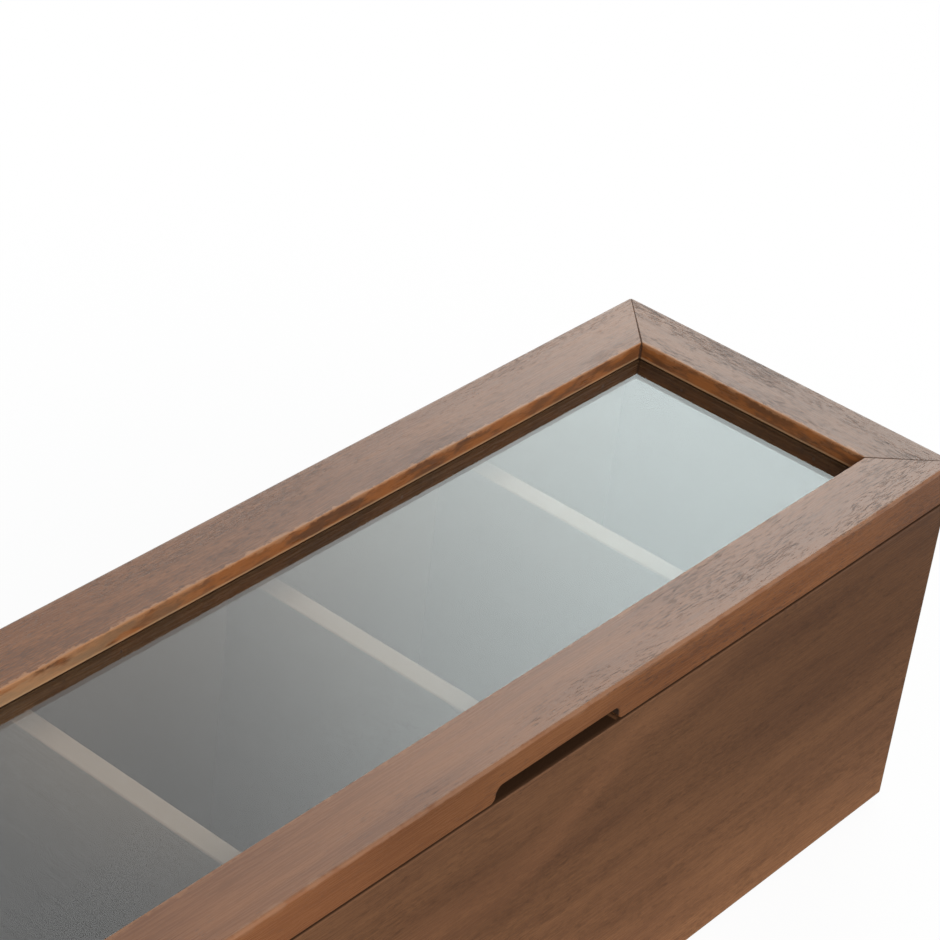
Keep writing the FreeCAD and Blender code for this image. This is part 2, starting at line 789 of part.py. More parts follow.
lid_hardware = group("lid_hardware", [nails, brads, lid_screws, *bumpers])
rails = divide(
    combine("Cut", "rail_frame_drilled", rail_frame(), lid_hardware),
    {
        "front": "lid_front_rail",
        "back": "lid_back_rail",
        "left": "lid_left_rail",
        "right": "lid_right_rail",
    },
)
beads = divide(
    combine("Cut", "bead_frame_drilled", bead_frame(), brads),
    {
        "front": "glazing_bead_front",
        "back": "glazing_bead_back",
        "left": "glazing_bead_left",
        "right": "glazing_bead_right",
    },
)
pane_inset = f"2 * ({REBATE_EDGE} + glass_play)"
glass_pane = block(
    "glass_pane",
    f"box_length - {pane_inset}",
    f"box_depth - {pane_inset}",
    GLASS_UNDER,
    "glass_thickness",
)

PIECES = [
    *walls, bottom_panel, *dividers, *pads,
    *rails, glass_pane, *beads, brads, nails, *bumpers,
    *hinge_pieces, body_screws, lid_screws,
]

doc.recompute()

# Nothing is written unless every object and every piece is sound.
for item in doc.Objects:
    if "Invalid" in item.State or "Error" in item.State:
        raise RuntimeError(f"{item.Label} failed to build: {item.State}")
    if item.TypeId in ("PartDesign::Pocket", "PartDesign::Mirrored"):
        before = item.BaseFeature if item.BaseFeature else item.Originals[-1]
        if item.Shape.Volume > before.Shape.Volume - TOLERANCE:
            raise RuntimeError(f"{item.Label} cuts nothing")
for piece in PIECES:
    if piece.Shape.isNull() or not piece.Shape.isValid() or not piece.Shape.Solids:
        raise RuntimeError(f"{piece.Label} has no valid solid")

os.makedirs("parts", exist_ok=True)
for piece in PIECES:
    piece.Shape.exportStep(f"parts/{piece.Label}.step")
    print(f"{piece.Label}: {len(piece.Shape.Solids)} solid(s), {piece.Shape.Volume:.1f} mm3")
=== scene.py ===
import math

import bmesh
import bpy
from mathutils import Matrix, Vector


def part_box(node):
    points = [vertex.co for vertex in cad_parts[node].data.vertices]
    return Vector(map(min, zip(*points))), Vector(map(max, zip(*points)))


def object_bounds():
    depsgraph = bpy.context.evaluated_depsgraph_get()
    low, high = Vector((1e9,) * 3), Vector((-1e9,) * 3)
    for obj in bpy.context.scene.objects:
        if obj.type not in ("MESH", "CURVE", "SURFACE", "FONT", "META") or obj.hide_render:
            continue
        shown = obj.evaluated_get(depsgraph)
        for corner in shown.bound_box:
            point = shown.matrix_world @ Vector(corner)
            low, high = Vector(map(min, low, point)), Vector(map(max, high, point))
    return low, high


# The finish of a walnut tea box with a glazed, hinged lid, and the studio that it stands in.
# Places and sizes are in metres. Patterns are worked out in millimetres of the same frame.

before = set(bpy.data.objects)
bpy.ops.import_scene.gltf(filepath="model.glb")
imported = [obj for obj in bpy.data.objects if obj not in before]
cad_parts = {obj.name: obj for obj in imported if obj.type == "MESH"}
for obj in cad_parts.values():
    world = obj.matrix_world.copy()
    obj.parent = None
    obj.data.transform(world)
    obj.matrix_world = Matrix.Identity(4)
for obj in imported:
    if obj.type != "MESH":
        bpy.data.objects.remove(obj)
cad_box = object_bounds()

MM = 0.001
LOW, HIGH = (tuple(value / MM for value in corner) for corner in cad_box)


def level(node, corner):
    """Height in millimetres of a CAD node's underside (corner 0) or top (corner 1)."""
    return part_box(node)[corner].z / MM


FOOT = level("front_wall", 0)
RIM = level("front_wall", 1)
LID_UNDER = level("lid_front_rail", 0)
LID_TOP = level("lid_front_rail", 1)
GLASS_TOP = level("glass_pane", 1)
DIVIDER_TOP = level("divider_centre", 1)
# The middle of the gap between the box and the lid.
SEAM = (RIM + LID_UNDER) / 2
# Half the size of the lid's window, from the rails' inner faces.
WINDOW = (-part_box("lid_left_rail")[1].x / MM, -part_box("lid_front_rail")[1].y / MM)
WALL_THICKNESS = 7.0
RAIL_WIDTH = 16.0
# Half the finger notch's length, its top, and how far before the box's middle its shade ends.
NOTCH_HALF = 20.4
NOTCH_TOP = LID_UNDER + 3.8
NOTCH_BEFORE = 20.0


# Node trees

class Nodes:
    """The node tree of a material, a lamp or the world, and the nodes that patterns are made of."""

    def __init__(self, tree):
        self.tree = tree

    def feed(self, socket, value):
        """Link a node's output to a socket, or set a plain value on it."""
        if isinstance(value, bpy.types.NodeSocket):
            self.tree.links.new(value, socket)
        else:
            socket.default_value = value

    def node(self, kind, inputs, output=0, **settings):
        """Add a node and return one of its outputs."""
        made = self.tree.nodes.new(kind)
        for key, value in settings.items():
            setattr(made, key, value)
        for key, value in inputs.items():
            self.feed(made.inputs[key], value)
        return made.outputs[output]

    def math(self, operation, *values):
        return self.node("ShaderNodeMath", dict(enumerate(values)), operation=operation)

    def vector_math(self, operation, *values, output=0):
        inputs = dict(enumerate(values))
        return self.node("ShaderNodeVectorMath", inputs, output=output, operation=operation)

    def between(self, first, second):
        """How far two values are from each other."""
        return self.math("ABSOLUTE", self.math("SUBTRACT", first, second))

    def mix(self, factor, first, second, blend="MIX"):
        """Mix two colours."""
        inputs = {"Factor": factor, 6: first, 7: second}
        return self.node(
            "ShaderNodeMix", inputs, output=2, data_type="RGBA", blend_type=blend
        )

    def ramp(self, value, start, stop, low=0.0, high=1.0, **settings):
        """Go from low to high as value goes from start to stop."""
        inputs = {"Value": value, "From Min": start, "From Max": stop, "To Min": low, "To Max": high}
        return self.node("ShaderNodeMapRange", inputs, **settings)

    def fade(self, value, start, stop, low=0.0, high=1.0):
        """Go smoothly from low to high as value goes from start to stop."""
        return self.ramp(value, start, stop, low, high, interpolation_type="SMOOTHSTEP")

    def rays(self, *kinds):
        """1 for rays of any of these kinds, such as Is Camera Ray."""
        path = self.node("ShaderNodeLightPath", {}).node.outputs
        found = path[kinds[0]]
        for kind in kinds[1:]:
            found = self.math("MAXIMUM", found, path[kind])
        return found


class Finish(Nodes):
    """A material whose pattern is laid out in millimetres of the box."""

    def __init__(self, name):
        self.material = bpy.data.materials.new(name)
        self.material.use_nodes = True
        super().__init__(self.material.node_tree)
        self.shader = self.tree.nodes["Principled BSDF"]

    def place(self, turn=(0, 0, 0), shift=(0, 0, 0)):
        """Object coordinates in millimetres, turned and then shifted."""
        where = self.node("ShaderNodeTexCoord", {}, output=3)
        scale = (1 / MM, 1 / MM, 1 / MM)
        return self.node(
            "ShaderNodeMapping",
            {"Vector": where, "Scale": scale, "Rotation": turn, "Location": shift},
        )

    def split(self, vector):
        """The three parts of a vector, named X, Y and Z."""
        return self.node("ShaderNodeSeparateXYZ", {"Vector": vector}).node.outputs

    def axes(self):
        """The three parts of the place itself."""
        return self.split(self.place())

    def stretch(self, vector, scale):
        return self.vector_math("MULTIPLY", vector, scale)

    def noise(self, vector, scale=1.0, detail=2.0, roughness=0.5):
        inputs = {"Vector": vector, "Scale": scale, "Detail": detail, "Roughness": roughness}
        return self.node("ShaderNodeTexNoise", inputs)

    def streaks(self, board, along, across, **settings):
        """Noise that changes this fast, per millimetre, along the board's grain and across it."""
        return self.noise(self.stretch(board, (along, across, across)), **settings)

    def set(self, **sockets):
        """Set the shader's sockets, named with an underscore for each space."""
        for name, value in sockets.items():
            self.feed(self.shader.inputs[name.replace("_", " ")], value)

    def bump(self, height, depth, strength=1.0):
        """Raise the surface by height, from 0 to 1, times depth in millimetres."""
        inputs = {"Height": height, "Distance": depth * MM, "Strength": strength}
        self.set(Normal=self.node("ShaderNodeBump", inputs))

    def give_way(self, share, other):
        """Let another shader take this share of the surface."""
        both = self.node("ShaderNodeMixShader", {0: share, 1: self.shader.outputs[0], 2: other})
        self.feed(self.tree.nodes["Material Output"].inputs["Surface"], both)


def coloured(red, green, blue):
    return (red, green, blue, 1.0)


def grey(value):
    return coloured(value, value, value)


# Marks: each returns how strongly it shows at a place, from 0 to 1.

# Narrowest and widest wear along an arris, in millimetres.
WEAR_WIDTHS = (0.5, 2.2)
WINDOW_WEAR_WIDTHS = (0.25, 1.8)
LIP_ABOVE_GLASS = 0.45
# How far down from a divider's top the painted light on its sides starts, and where it is brightest.
SIDE_START, SIDE_PALEST = 50.0, 4.0
# Where the painted shadow on the dividers' tops starts, going back, and where it is darkest.
BACK_SHADOW = (21.0, 37.0)
# The shade in the notch and in the seam fades between these depths behind the front.
NOTCH_SHADE = (3.2, 6.0)
SEAM_SHADE = (0.6, 1.2)
# Half the width of a mitre's joint at the outer corner and at the inner one.
JOINT_WIDTHS = (0.18, 0.32)
# The pale streak climbs between these heights over this stretch of the front wall. It is gone at
# the first of the two places in STREAK_END, and whole from the second one on.
STREAK_CLIMB = (-10.0, 35.0)
STREAK_HEIGHTS = (62.0, 82.0)
STREAK_HALF_WIDTH = 9.0
STREAK_END = (70.0, 30.0)


def from_outside(finish, axes):
    """How far a place is in from the box's ends, and from its front and back."""
    from_end = finish.math("SUBTRACT", HIGH[0], finish.math("ABSOLUTE", axes["X"]))
    from_side = finish.math("SUBTRACT", HIGH[1], finish.math("ABSOLUTE", axes["Y"]))
    return from_end, from_side


def worn_edges(finish, height):
    """The box's worn arrises: its upright corners, and its sides at this height."""
    axes = finish.axes()
    from_end, from_side = from_outside(finish, axes)
    outside = finish.math("MINIMUM", from_end, from_side)
    corner = finish.math("ADD", from_end, from_side)
    along = finish.math("ADD", outside, finish.between(axes["Z"], height))
    nearest = finish.math("MINIMUM", corner, along)
    patchy = finish.noise(finish.place(), scale=0.16, detail=3.0, roughness=0.6)
    width = finish.fade(patchy, 0.35, 0.7, *WEAR_WIDTHS)
    return finish.fade(finish.math("DIVIDE", nearest, width), 0.35, 1.0, 1.0, 0.0)


def lid_wear(finish):
    return worn_edges(finish, LID_TOP)


def foot_wear(finish):
    return worn_edges(finish, FOOT)


def from_window(finish, axes):
    """How far a place is from the sides of the lid's window, in plan."""
    past_end = finish.math("SUBTRACT", finish.math("ABSOLUTE", axes["X"]), WINDOW[0])
    past_side = finish.math("SUBTRACT", finish.math("ABSOLUTE", axes["Y"]), WINDOW[1])
    return finish.math("ABSOLUTE", finish.math("MAXIMUM", past_end, past_side))


def window_arris(finish):
    """The worn upper arris of the lid's window, ragged on its outer side."""
    axes = finish.axes()
    down = finish.math("SUBTRACT", LID_TOP, axes["Z"])
    ragged = finish.noise(finish.place(), scale=0.22, detail=5.0, roughness=0.7)
    width = finish.fade(ragged, 0.38, 0.72, *WINDOW_WEAR_WIDTHS)
    away = finish.math("ADD", from_window(finish, axes), down)
    return finish.fade(finish.math("DIVIDE", away, width), 0.5, 1.0, 1.0, 0.0)


def lip_highlight(finish):
    """A painted highlight along the lower edge of the rails' inner faces, just above the glass."""
    axes = finish.axes()
    up = finish.between(axes["Z"], GLASS_TOP + LIP_ABOVE_GLASS)
    return finish.fade(finish.math("ADD", from_window(finish, axes), up), 0.15, 0.4, 1.0, 0.0)


def inner_faces(finish, seed, start, stop, far=None):
    """Patches of a tone of their own on the rails' faces round the glass.

    Given far, they come in only towards that place along the box.
    """
    axes = finish.axes()
    where = finish.place(shift=(seed, seed, seed))
    patch = finish.noise(finish.stretch(where, (0.08, 0.08, 0.3)), detail=4.0, roughness=0.65)
    inside = finish.fade(from_window(finish, axes), 0.05, 0.25, 1.0, 0.0)
    shown = finish.math("MULTIPLY", inside, finish.fade(patch, start, stop))
    if far is None:
        return shown
    return finish.math("MULTIPLY", shown, finish.fade(axes["X"], 0.0, far))


def divider_top(finish):
    """The dividers' planed upper edges, which show less at the back, where a shadow is painted on
    them.
    """
    axes = finish.axes()
    upper = finish.fade(axes["Z"], DIVIDER_TOP - 0.5, DIVIDER_TOP - 0.2)
    return finish.math("MULTIPLY", upper, finish.fade(axes["Y"], *BACK_SHADOW, 1.0, 0.12))


def painted_side_light(finish):
    """Painted light on the upper part of a divider's sides, less and less further down."""
    height = finish.axes()["Z"]
    return finish.fade(height, DIVIDER_TOP - SIDE_START, DIVIDER_TOP - SIDE_PALEST)


def box_inside(finish):
    """The faces inside the box, on which the walls get painted shade."""
    depth = finish.math("MINIMUM", *from_outside(finish, finish.axes()))
    return finish.fade(depth, WALL_THICKNESS - 0.4, WALL_THICKNESS - 0.05)


def notch_shade(finish):
    """The shade in the finger notch and at the outside of the gap between lid and box."""
    axes = finish.axes()
    depth = finish.math("MINIMUM", *from_outside(finish, axes))
    sideways = finish.math("SUBTRACT", finish.math("ABSOLUTE", axes["X"]), NOTCH_HALF)
    upward = finish.math("SUBTRACT", axes["Z"], NOTCH_TOP)
    forward = finish.math("SUBTRACT", 0.3, depth)
    backward = finish.math("ADD", axes["Y"], NOTCH_BEFORE)
    outside = finish.math("MAXIMUM", finish.math("MAXIMUM", sideways, upward), forward)
    outside = finish.math("MAXIMUM", outside, backward)
    in_notch = finish.fade(outside, 0.0, 0.4, 1.0, 0.0)
    in_notch = finish.math("MULTIPLY", in_notch, finish.fade(depth, *NOTCH_SHADE, 1.0, 0.0))
    in_seam = finish.fade(finish.between(axes["Z"], SEAM), 0.35, 0.65, 1.0, 0.0)
    in_seam = finish.math("MULTIPLY", in_seam, finish.fade(depth, *SEAM_SHADE, 1.0, 0.0))
    above_wall = finish.fade(axes["Z"], RIM - 0.35, RIM - 0.1)
    return finish.math("MAXIMUM", finish.math("MULTIPLY", in_notch, above_wall), in_seam)


def mitre_lines(finish):
    """Hairline joints where the boards meet at the corners, wider below the lid's top."""
    axes = finish.axes()
    from_end, from_side = from_outside(finish, axes)
    off = finish.between(from_end, from_side)
    width = finish.fade(from_side, 3.0, RAIL_WIDTH, *JOINT_WIDTHS)
    below_top = finish.math("SUBTRACT", LID_TOP, axes["Z"])
    width = finish.math("MULTIPLY", width, finish.fade(below_top, 0.5, 1.0, 1.0, 1.6))
    return finish.fade(finish.math("DIVIDE", off, width), 0.6, 1.4, 1.0, 0.0)


def front_face(finish, start, stop):
    """The lid's front face, coming in between these two places along the box."""
    axes = finish.axes()
    face = finish.fade(axes["Y"], LOW[1] + 0.6, LOW[1] + 0.2)
    return finish.math("MULTIPLY", face, finish.fade(axes["X"], start, stop))


def pale_streak(finish):
    """A pale streak in the front wall's grain, which rises to the right below the notch."""
    axes = finish.axes()
    waver = finish.noise(finish.stretch(finish.place(), (0.02, 0.02, 0.08)), detail=3.0)
    climb = finish.fade(axes["X"], *STREAK_CLIMB, *STREAK_HEIGHTS)
    middle = finish.math("MULTIPLY_ADD", waver, 8.0, climb)
    across = finish.fade(finish.between(axes["Z"], middle), 1.0, STREAK_HALF_WIDTH, 1.0, 0.0)
    return finish.math("MULTIPLY", across, finish.fade(axes["X"], *STREAK_END))


# Wood

# How far a board is turned, so that its grain lies along the box or across it.
ALONG_X = (0, 0, 0)
ALONG_Y = (0, 0, math.pi / 2)
# Each board is cut this far from the last, so that no two look alike.
CUT_APART = (37.0, 23.0, 11.0)
# How far the grain sways to the side, in wide bends and in small ripples.
SWAY, RIPPLE = 7.0, 0.6
# Length and width of the pores.
LARGE_PORE = (4.8, 0.25)
SMALL_PORE = (2.2, 0.17)
PORE_DEPTH = 0.05
# The crowds of pores thin out, or thicken, over this stretch along the grain.
THINNING = (-60.0, 115.0)
# A board's colour changes over these stretches of the box's height, going down, and its length.
LIFT_HEIGHTS = (75.0, -65.0)
LIFT_ENDS = (-90.0, 150.0)

PORE = (0.022, 0.01, 0.006)
# The dark of the corner joints, and also of the painted shade in the finger notch and along the
# seam.
JOINT_AND_SHADE = (0.03, 0.012, 0.004)
WORN = (0.36, 0.19, 0.105)
RUBBED = (0.4, 0.15, 0.06)
STREAK = (0.38, 0.17, 0.08)
VARNISHED = (0.36, 0.12, 0.028)
STAINED = (0.085, 0.035, 0.015)
ARRIS = (0.42, 0.2, 0.09)
# Pale wood for patches on the rails' inner faces, and the colour of the painted highlight above the
# glass.
BARE_WOOD_AND_HIGHLIGHT = (0.52, 0.33, 0.18)
# Painted shade on the walls' faces inside the box.
INSIDE_WALL_SHADE = (0.068, 0.05, 0.037)
# Painted light on the left divider's upper sides.
SIDE_LIGHT = (0.22, 0.17, 0.13)
PLANED_TOP = (0.19, 0.13, 0.09)
PALER_TOP = (0.25, 0.18, 0.135)


def bend(finish, board):
    """A board's coordinates, bent so that its grain sways from side to side."""
    sway = finish.streaks(board, 0.009, 0.02, detail=1.0)
    ripple = finish.streaks(board, 0.03, 0.12, detail=1.0)
    shift = finish.math("MULTIPLY_ADD", sway, SWAY, finish.math("MULTIPLY", ripple, RIPPLE))
    return finish.vector_math("ADD", board, finish.node("ShaderNodeCombineXYZ", {"Y": shift}))


def figure(finish, bent, fibres):
    """How light the board is: its year rings and fibres, and slow changes over its length."""
    drift = finish.streaks(bent, 0.012, 0.045)
    rings = finish.streaks(bent, 0.01, 0.3, detail=3.0, roughness=0.6)
    tone = finish.math("MULTIPLY", rings, 0.35)
    tone = finish.math("MULTIPLY_ADD", fibres, 0.4, tone)
    tone = finish.math("MULTIPLY_ADD", drift, 0.5, tone)
    return finish.fade(tone, 0.42, 0.84)


def lifted(finish, colour, low, left, right):
    """The colour times low towards the foot of the box, and times left and right at its ends."""
    if low != 1.0:
        down = finish.fade(finish.axes()["Z"], *LIFT_HEIGHTS)
        lift = finish.math("MULTIPLY_ADD", down, 2.0 * (low - 1.0), 1.0)
        colour = finish.mix(1.0, colour, lift, blend="MULTIPLY")
    if (left, right) != (1.0, 1.0):
        lift = finish.fade(finish.axes()["X"], *LIFT_ENDS, left, right)
        colour = finish.mix(1.0, colour, lift, blend="MULTIPLY")
    return colour


def pores(finish, bent, length, width, crowd):
    """Open pores: thin dashes along the grain, and more of them where crowd is high."""
    dashes = finish.streaks(bent, 1 / length, 1 / width, detail=0.0)
    return finish.fade(finish.math("MULTIPLY_ADD", crowd, 0.13, dashes), 0.69, 0.77)


def open_pores(finish, bent, grain, far):
    """Large and small pores in loose crowds; far is how crowded they are at the grain's low end."""
    crowd = finish.streaks(bent, 0.025, 0.13, roughness=0.6)
    along = finish.split(finish.place(turn=grain))["X"]
    thinned = finish.fade(along, *THINNING, far - 1.0, 0.0)
    crowd = finish.math("ADD", finish.fade(crowd, 0.38, 0.64), thinned)
    large = pores(finish, bent, *LARGE_PORE, crowd)
    small = pores(finish, bent, *SMALL_PORE, crowd)
    return finish.math("MAXIMUM", finish.math("MULTIPLY", large, 0.7), small)


def wood(
    name, grain, seed, light, dark,
    pored=1.0, far=1.0, gloss=0.4, low=1.0, left=1.0, right=1.0, marks=(),
):
    """A board of open-pored walnut with an oiled finish; grain is the turn that lays it along.

    pored is how open its pores are and far how crowded at the grain's low end. low, left and right
    lift its colour. Each mark lies on the ones before it.
    """
    finish = Finish(name)
    board = finish.place(turn=grain, shift=tuple(seed * step for step in CUT_APART))
    bent = bend(finish, board)
    fibres = finish.streaks(bent, 0.09, 2.6, detail=3.0, roughness=0.75)
    pore = finish.math("MULTIPLY", open_pores(finish, bent, grain, far), pored)

    colour = finish.mix(figure(finish, bent, fibres), coloured(*dark), coloured(*light))
    colour = lifted(finish, colour, low, left, right)
    colour = finish.mix(finish.math("MULTIPLY", pore, 0.7), colour, coloured(*PORE))
    rough = finish.math("MULTIPLY_ADD", fibres, 0.34, finish.math("MULTIPLY_ADD", pore, 0.22, 0.1))
    for mark, strength, paint, roughening in marks:
        shown = finish.math("MULTIPLY", mark(finish), strength)
        colour = finish.mix(shown, colour, coloured(*paint))
        rough = finish.math("MULTIPLY_ADD", shown, roughening, rough)
    finish.set(Base_Color=colour, Roughness=rough, Specular_IOR_Level=gloss)

    height = finish.math("MULTIPLY_ADD", fibres, 0.5, finish.math("MULTIPLY", pore, -0.7))
    outside = finish.math("SUBTRACT", 1.0, box_inside(finish))
    finish.bump(finish.math("MULTIPLY", height, outside), PORE_DEPTH, 0.6)
    return finish.material


# Glass, metal, felt and plastic

def clear_glass():
    """Clear glass that lets the studio's light through to what lies under it."""
    finish = Finish("clear_glass")
    finish.set(
        Base_Color=coloured(0.985, 1.0, 0.992), Roughness=0.0, IOR=1.5, Transmission_Weight=1.0
    )
    clear = finish.node("ShaderNodeBsdfTransparent", {"Color": coloured(0.93, 0.95, 0.94)})
    finish.give_way(finish.rays("Is Shadow Ray", "Is Diffuse Ray"), clear)
    return finish.material


def metal(name, colour, roughness):
    """Brushed metal with a slight haze."""
    finish = Finish(name)
    where = finish.place()
    haze = finish.noise(where, scale=0.18)
    lines = finish.streaks(where, 0.6, 14.0)
    worn = finish.fade(haze, 0.3, 0.7, 0.9, 1.05)
    finish.set(
        Base_Color=finish.mix(1.0, coloured(*colour), worn, blend="MULTIPLY"),
        Metallic=1.0,
        Roughness=finish.fade(finish.math("ADD", haze, lines), 0.6, 1.4, roughness, roughness + 0.2),
    )
    finish.bump(lines, 0.01, 0.4)
    return finish.material


def felt():
    """Dark brown felt."""
    finish = Finish("felt")
    tufts = finish.noise(finish.place(), scale=2.2, detail=5.0, roughness=0.7)
    finish.set(
        Base_Color=finish.mix(tufts, coloured(0.035, 0.022, 0.015), coloured(0.12, 0.08, 0.055)),
        Roughness=1.0,
        Sheen_Weight=0.5,
    )
    finish.bump(tufts, 0.3)
    return finish.material


def soft_clear():
    """Soft, slightly cloudy plastic."""
    finish = Finish("soft_clear")
    cloud = finish.noise(finish.place(), scale=0.8, detail=3.0)
    finish.set(
        Base_Color=coloured(0.72, 0.73, 0.71),
        Roughness=finish.fade(cloud, 0.3, 0.7, 0.25, 0.4),
        IOR=1.45,
        Transmission_Weight=0.3,
    )
    return finish.material


# Which finish each piece has

# A mark is its pattern, its strength, its colour and how much rougher it makes the surface.
JOINT = (mitre_lines, 0.85, JOINT_AND_SHADE, 0.6)
# Painted shade in the finger notch and along the seam, in the joints' dark colour.
SHADE = (notch_shade, 0.95, JOINT_AND_SHADE, 0.6)
LID_WEAR = (lid_wear, 0.3, WORN, 0.0)
PLAIN_LID_MARKS = (LID_WEAR, (window_arris, 0.25, ARRIS, 0.1), JOINT, SHADE)
FRONT_MARKS = (
    (lambda finish: front_face(finish, -30.0, -80.0), 0.25, RUBBED, 0.0),
    (lambda finish: front_face(finish, 95.0, 130.0), 0.35, STAINED, 0.0),
    *PLAIN_LID_MARKS,
)
LID_MARKS = (
    LID_WEAR,
    (lambda finish: inner_faces(finish, 0.0, 0.36, 0.56), 0.7, VARNISHED, 0.1),
    (lambda finish: inner_faces(finish, 90.0, 0.45, 0.6), 0.65, STAINED, 0.1),
    (lambda finish: inner_faces(finish, 45.0, 0.36, 0.56, far=-90.0), 0.5, BARE_WOOD_AND_HIGHLIGHT, 0.2),
    (window_arris, 0.7, ARRIS, 0.1),
    # A painted highlight along the rails' inner faces, just above the glass.
    (lip_highlight, 0.5, BARE_WOOD_AND_HIGHLIGHT, 0.2),
    JOINT,
    SHADE,
)
# Inside the box, the walls get painted shade.
WALL_MARKS = ((foot_wear, 0.25, WORN, 0.0), (box_inside, 1.0, INSIDE_WALL_SHADE, 0.2), JOINT, SHADE)

LID = {"light": (0.256, 0.1, 0.035), "dark": (0.154, 0.0545, 0.0175), "marks": LID_MARKS}
FRONT_LID = LID | {"marks": FRONT_MARKS, "gloss": 0.425, "far": -0.2, "left": 0.9, "right": 1.15}
BACK_LID = LID | {"pored": 0.8, "far": 1.35, "left": 0.92, "right": 1.1}
LEFT_LID = LID | {"marks": PLAIN_LID_MARKS}
RIGHT_LID = LID | {"pored": 1.1, "gloss": 0.375}
WALL = {"light": (0.148, 0.069, 0.032), "dark": (0.1, 0.046, 0.023), "marks": WALL_MARKS}
WALL |= {"pored": 0.55, "gloss": 0.12, "low": 2.15}
FRONT_WALL = WALL | {"left": 1.33, "marks": ((pale_streak, 0.16, STREAK, 0.0), *WALL_MARKS)}
# Painted shade: the bottom panel and the dividers are coloured dark, for the shade inside the box.
INSIDE_SHADE = {"light": (0.08, 0.06, 0.045), "dark": (0.062, 0.046, 0.034), "pored": 0.0, "gloss": 0.08}
# The dividers' tops darken towards the back under a painted shadow.
PLANED = INSIDE_SHADE | {"marks": ((divider_top, 1.0, PLANED_TOP, 0.0),)}
# The left divider's sides get painted light towards the top.
PALER = INSIDE_SHADE | {"marks": ((painted_side_light, 0.6, SIDE_LIGHT, 0.0), (divider_top, 1.0, PALER_TOP, 0.0))}
# Painted shade: the glazing beads under the lid's rails are coloured darker.
BEAD = {"light": (0.09, 0.045, 0.022), "dark": (0.055, 0.028, 0.014), "gloss": 0.15}

leaf_brass = metal("leaf_brass", (0.78, 0.56, 0.25), 0.22)
pin_brass = metal("pin_brass", (0.8, 0.6, 0.3), 0.2)
screw_brass = metal("screw_brass", (0.74, 0.52, 0.23), 0.28)
nail_steel = metal("nail_steel", (0.12, 0.1, 0.09), 0.4)
pad_felt = felt()
bumper_clear = soft_clear()

FINISHES = {
    "lid_front_rail": wood("lid_front_wood", ALONG_X, 1, **FRONT_LID),
    "lid_back_rail": wood("lid_back_wood", ALONG_X, 2, **BACK_LID),
    "lid_left_rail": wood("lid_left_wood", ALONG_Y, 3, **LEFT_LID),
    "lid_right_rail": wood("lid_right_wood", ALONG_Y, 4, **RIGHT_LID),
    "front_wall": wood("front_wall_wood", ALONG_X, 5, **FRONT_WALL),
    "back_wall": wood("back_wall_wood", ALONG_X, 6, left=1.2, **WALL),
    "left_end_wall": wood("left_end_wood", ALONG_Y, 7, left=1.3, **WALL),
    "right_end_wall": wood("right_end_wood", ALONG_Y, 8, **WALL),
    "bottom_panel": wood("panel_wood", ALONG_X, 9, **INSIDE_SHADE),
    "divider_left": wood("divider_left_wood", ALONG_Y, 10, **PALER),
    "divider_centre": wood("divider_centre_wood", ALONG_Y, 11, **PLANED),
    "divider_right": wood("divider_right_wood", ALONG_Y, 12, **PLANED),
    "glazing_bead_front": wood("bead_front_wood", ALONG_X, 13, **BEAD),
    "glazing_bead_back": wood("bead_back_wood", ALONG_X, 14, **BEAD),
    "glazing_bead_left": wood("bead_left_wood", ALONG_Y, 15, **BEAD),
    "glazing_bead_right": wood("bead_right_wood", ALONG_Y, 16, **BEAD),
    "glass_pane": clear_glass(),
    "bead_pins": nail_steel,
    "lid_corner_nails": nail_steel,
    "hinge_body_screws": screw_brass,
    "hinge_lid_screws": screw_brass,
}
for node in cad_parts:
    if node.startswith("foot_pad"):
        FINISHES[node] = pad_felt
    elif node.startswith("lid_bumper"):
        FINISHES[node] = bumper_clear
    elif node.endswith("_leaf"):
        FINISHES[node] = leaf_brass
    elif node.endswith("_pin"):
        FINISHES[node] = pin_brass

for name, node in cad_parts.items():
    node.data.materials.clear()
    node.data.materials.append(FINISHES[name])


# Studio

WHITE = grey(1.0)
SEEN = ("Is Camera Ray", "Is Transmission Ray")
# What the world shows to the rays that light the object, and to those that see it.
AMBIENT, BACKGROUND = 0.4, 1.0

FLOOR_SIZE = 8.0
# The floor's grey in reflections, and the paler one that lights the box from below.
FLOOR_GREY, FLOOR_BOUNCE = grey(0.14), grey(0.42)
# Millimetres from the middle of the box over which the floor's shadow ends, and how much of its
# white is light of its own inside them.
SHADOW_ENDS = (150.0, 420.0)
SHADOW_GLOW = 0.93
# Millimetres from the middle of the box over which the floor turns white in reflections.
REFLECTED_WHITE = (250.0, 500.0)

# The lamps look at a place inside the box.
LAMP_TARGET = (0, 0, 0.06)
WINDOW_PLACE, WINDOW_SIZE = (1.65, 0.953, 1.16), (1.8, 1.6)
FILL_PLACE, FILL_SIZE, FILL_RADIANCE = (-0.9, -1.6, 1.12), (1.6, 1.6), 4.8
# The window's light swells along WINDOW_SWELL, over this stretch of it from the middle.
WINDOW_SWELL = Vector((0.656, -0.580, -0.482))
SWELL_START, SWELL_STOP = -0.67, -0.01
DIM, BRIGHT = 0.3, 2.97
DIM_COLOUR, BRIGHT_COLOUR = coloured(0.96, 1.0, 0.99), coloured(0.855, 0.994, 1.0)


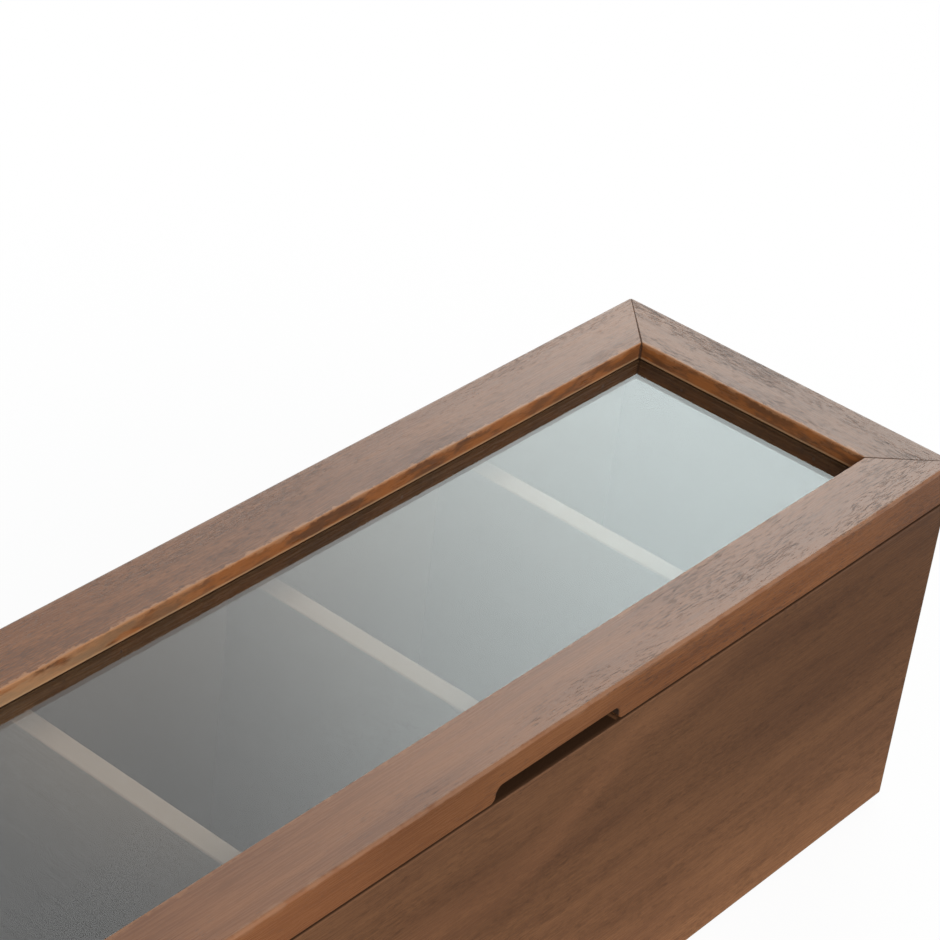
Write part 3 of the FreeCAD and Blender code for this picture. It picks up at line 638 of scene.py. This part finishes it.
def make_floor():
    """A white floor that keeps a soft shadow near the box and throws little light back up.

    In reflections it is white further out, and keeps its own grey close to the box.
    """
    mesh = bpy.data.meshes.new("floor")
    form = bmesh.new()
    bmesh.ops.create_grid(form, x_segments=1, y_segments=1, size=FLOOR_SIZE / 2)
    form.to_mesh(mesh)
    form.free()
    floor = bpy.data.objects.new("floor", mesh)
    bpy.context.scene.collection.objects.link(floor)

    finish = Finish("floor_paint")
    seen = finish.rays(*SEEN)
    unseen = finish.mix(finish.rays("Is Diffuse Ray"), FLOOR_GREY, FLOOR_BOUNCE)
    finish.set(
        Base_Color=finish.mix(seen, unseen, WHITE),
        Roughness=0.9,
        Specular_IOR_Level=0.0,
    )
    away = finish.vector_math("LENGTH", finish.place(), output=1)
    near = finish.math("MULTIPLY", seen, finish.fade(away, *SHADOW_ENDS, SHADOW_GLOW, 1.0))
    reflected = finish.rays("Is Glossy Ray")
    far_out = finish.math("MULTIPLY", reflected, finish.fade(away, *REFLECTED_WHITE))
    glow = finish.node("ShaderNodeEmission", {"Color": WHITE})
    finish.give_way(finish.math("MAXIMUM", near, far_out), glow)
    mesh.materials.append(finish.material)


def make_world():
    """A world that is white where it is seen, and dimmer where it lights the object."""
    world = bpy.data.worlds.new("studio")
    bpy.context.scene.world = world
    world.use_nodes = True
    nodes = Nodes(world.node_tree)
    strength = nodes.ramp(nodes.rays(*SEEN, "Is Glossy Ray"), 0.0, 1.0, AMBIENT, BACKGROUND)
    sky = world.node_tree.nodes["Background"]
    nodes.feed(sky.inputs["Color"], WHITE)
    nodes.feed(sky.inputs["Strength"], strength)


def make_lamp(name, place, size, radiance=1.0):
    """A rectangular lamp that looks at the box and that the camera doesn't see."""
    light = bpy.data.lights.new(name, "AREA")
    light.shape = "RECTANGLE"
    width, height = size
    light.size, light.size_y = width, height
    light.energy = math.pi * width * height * radiance
    lamp = bpy.data.objects.new(name, light)
    bpy.context.scene.collection.objects.link(lamp)
    lamp.location = place
    lamp.rotation_mode = "QUATERNION"
    lamp.rotation_quaternion = (Vector(LAMP_TARGET) - Vector(place)).to_track_quat("-Z", "Y")
    lamp.visible_camera = False
    return light


def make_window():
    """The window's light, dim and nearly neutral at one side, bright and cool at the other."""
    light = make_lamp("window", WINDOW_PLACE, WINDOW_SIZE)
    light.use_nodes = True
    nodes = Nodes(light.node_tree)
    spot = nodes.node("ShaderNodeNewGeometry", {}).node.outputs["Position"]
    along = nodes.vector_math("DOT_PRODUCT", spot, WINDOW_SWELL, output=1)
    middle = Vector(WINDOW_PLACE).dot(WINDOW_SWELL)
    swell = nodes.fade(along, middle + SWELL_START, middle + SWELL_STOP, DIM, BRIGHT)
    hue = nodes.mix(nodes.ramp(swell, DIM, BRIGHT), DIM_COLOUR, BRIGHT_COLOUR)
    glow = light.node_tree.nodes["Emission"]
    nodes.feed(glow.inputs["Strength"], swell)
    nodes.feed(glow.inputs["Color"], hue)


make_floor()
make_world()
make_window()
make_lamp("fill", FILL_PLACE, FILL_SIZE, FILL_RADIANCE)


# Camera

LENS = 118.98
SENSOR_WIDTH = 36.0
NEAREST, FURTHEST = 0.01, 50.0
EYE = Vector((-0.42701, -0.33524, 0.49487))
AZIMUTH = math.radians(53.363)
ELEVATION = math.radians(33.002)
ROLL = math.radians(7.25)


def make_camera():
    """A long lens above the box's front left, leaning a little to one side."""
    lens = bpy.data.cameras.new("camera")
    lens.lens = LENS
    lens.sensor_width = SENSOR_WIDTH
    lens.clip_start = NEAREST
    lens.clip_end = FURTHEST
    camera = bpy.data.objects.new("camera", lens)
    bpy.context.scene.collection.objects.link(camera)
    look = (
        Matrix.Rotation(-AZIMUTH, 4, "Z")
        @ Matrix.Rotation(math.pi / 2 - ELEVATION, 4, "X")
        @ Matrix.Rotation(ROLL, 4, "Z")
    )
    camera.matrix_world = Matrix.Translation(EYE) @ look
    bpy.context.scene.camera = camera


make_camera()
bpy.context.scene.view_settings.view_transform = "Standard"
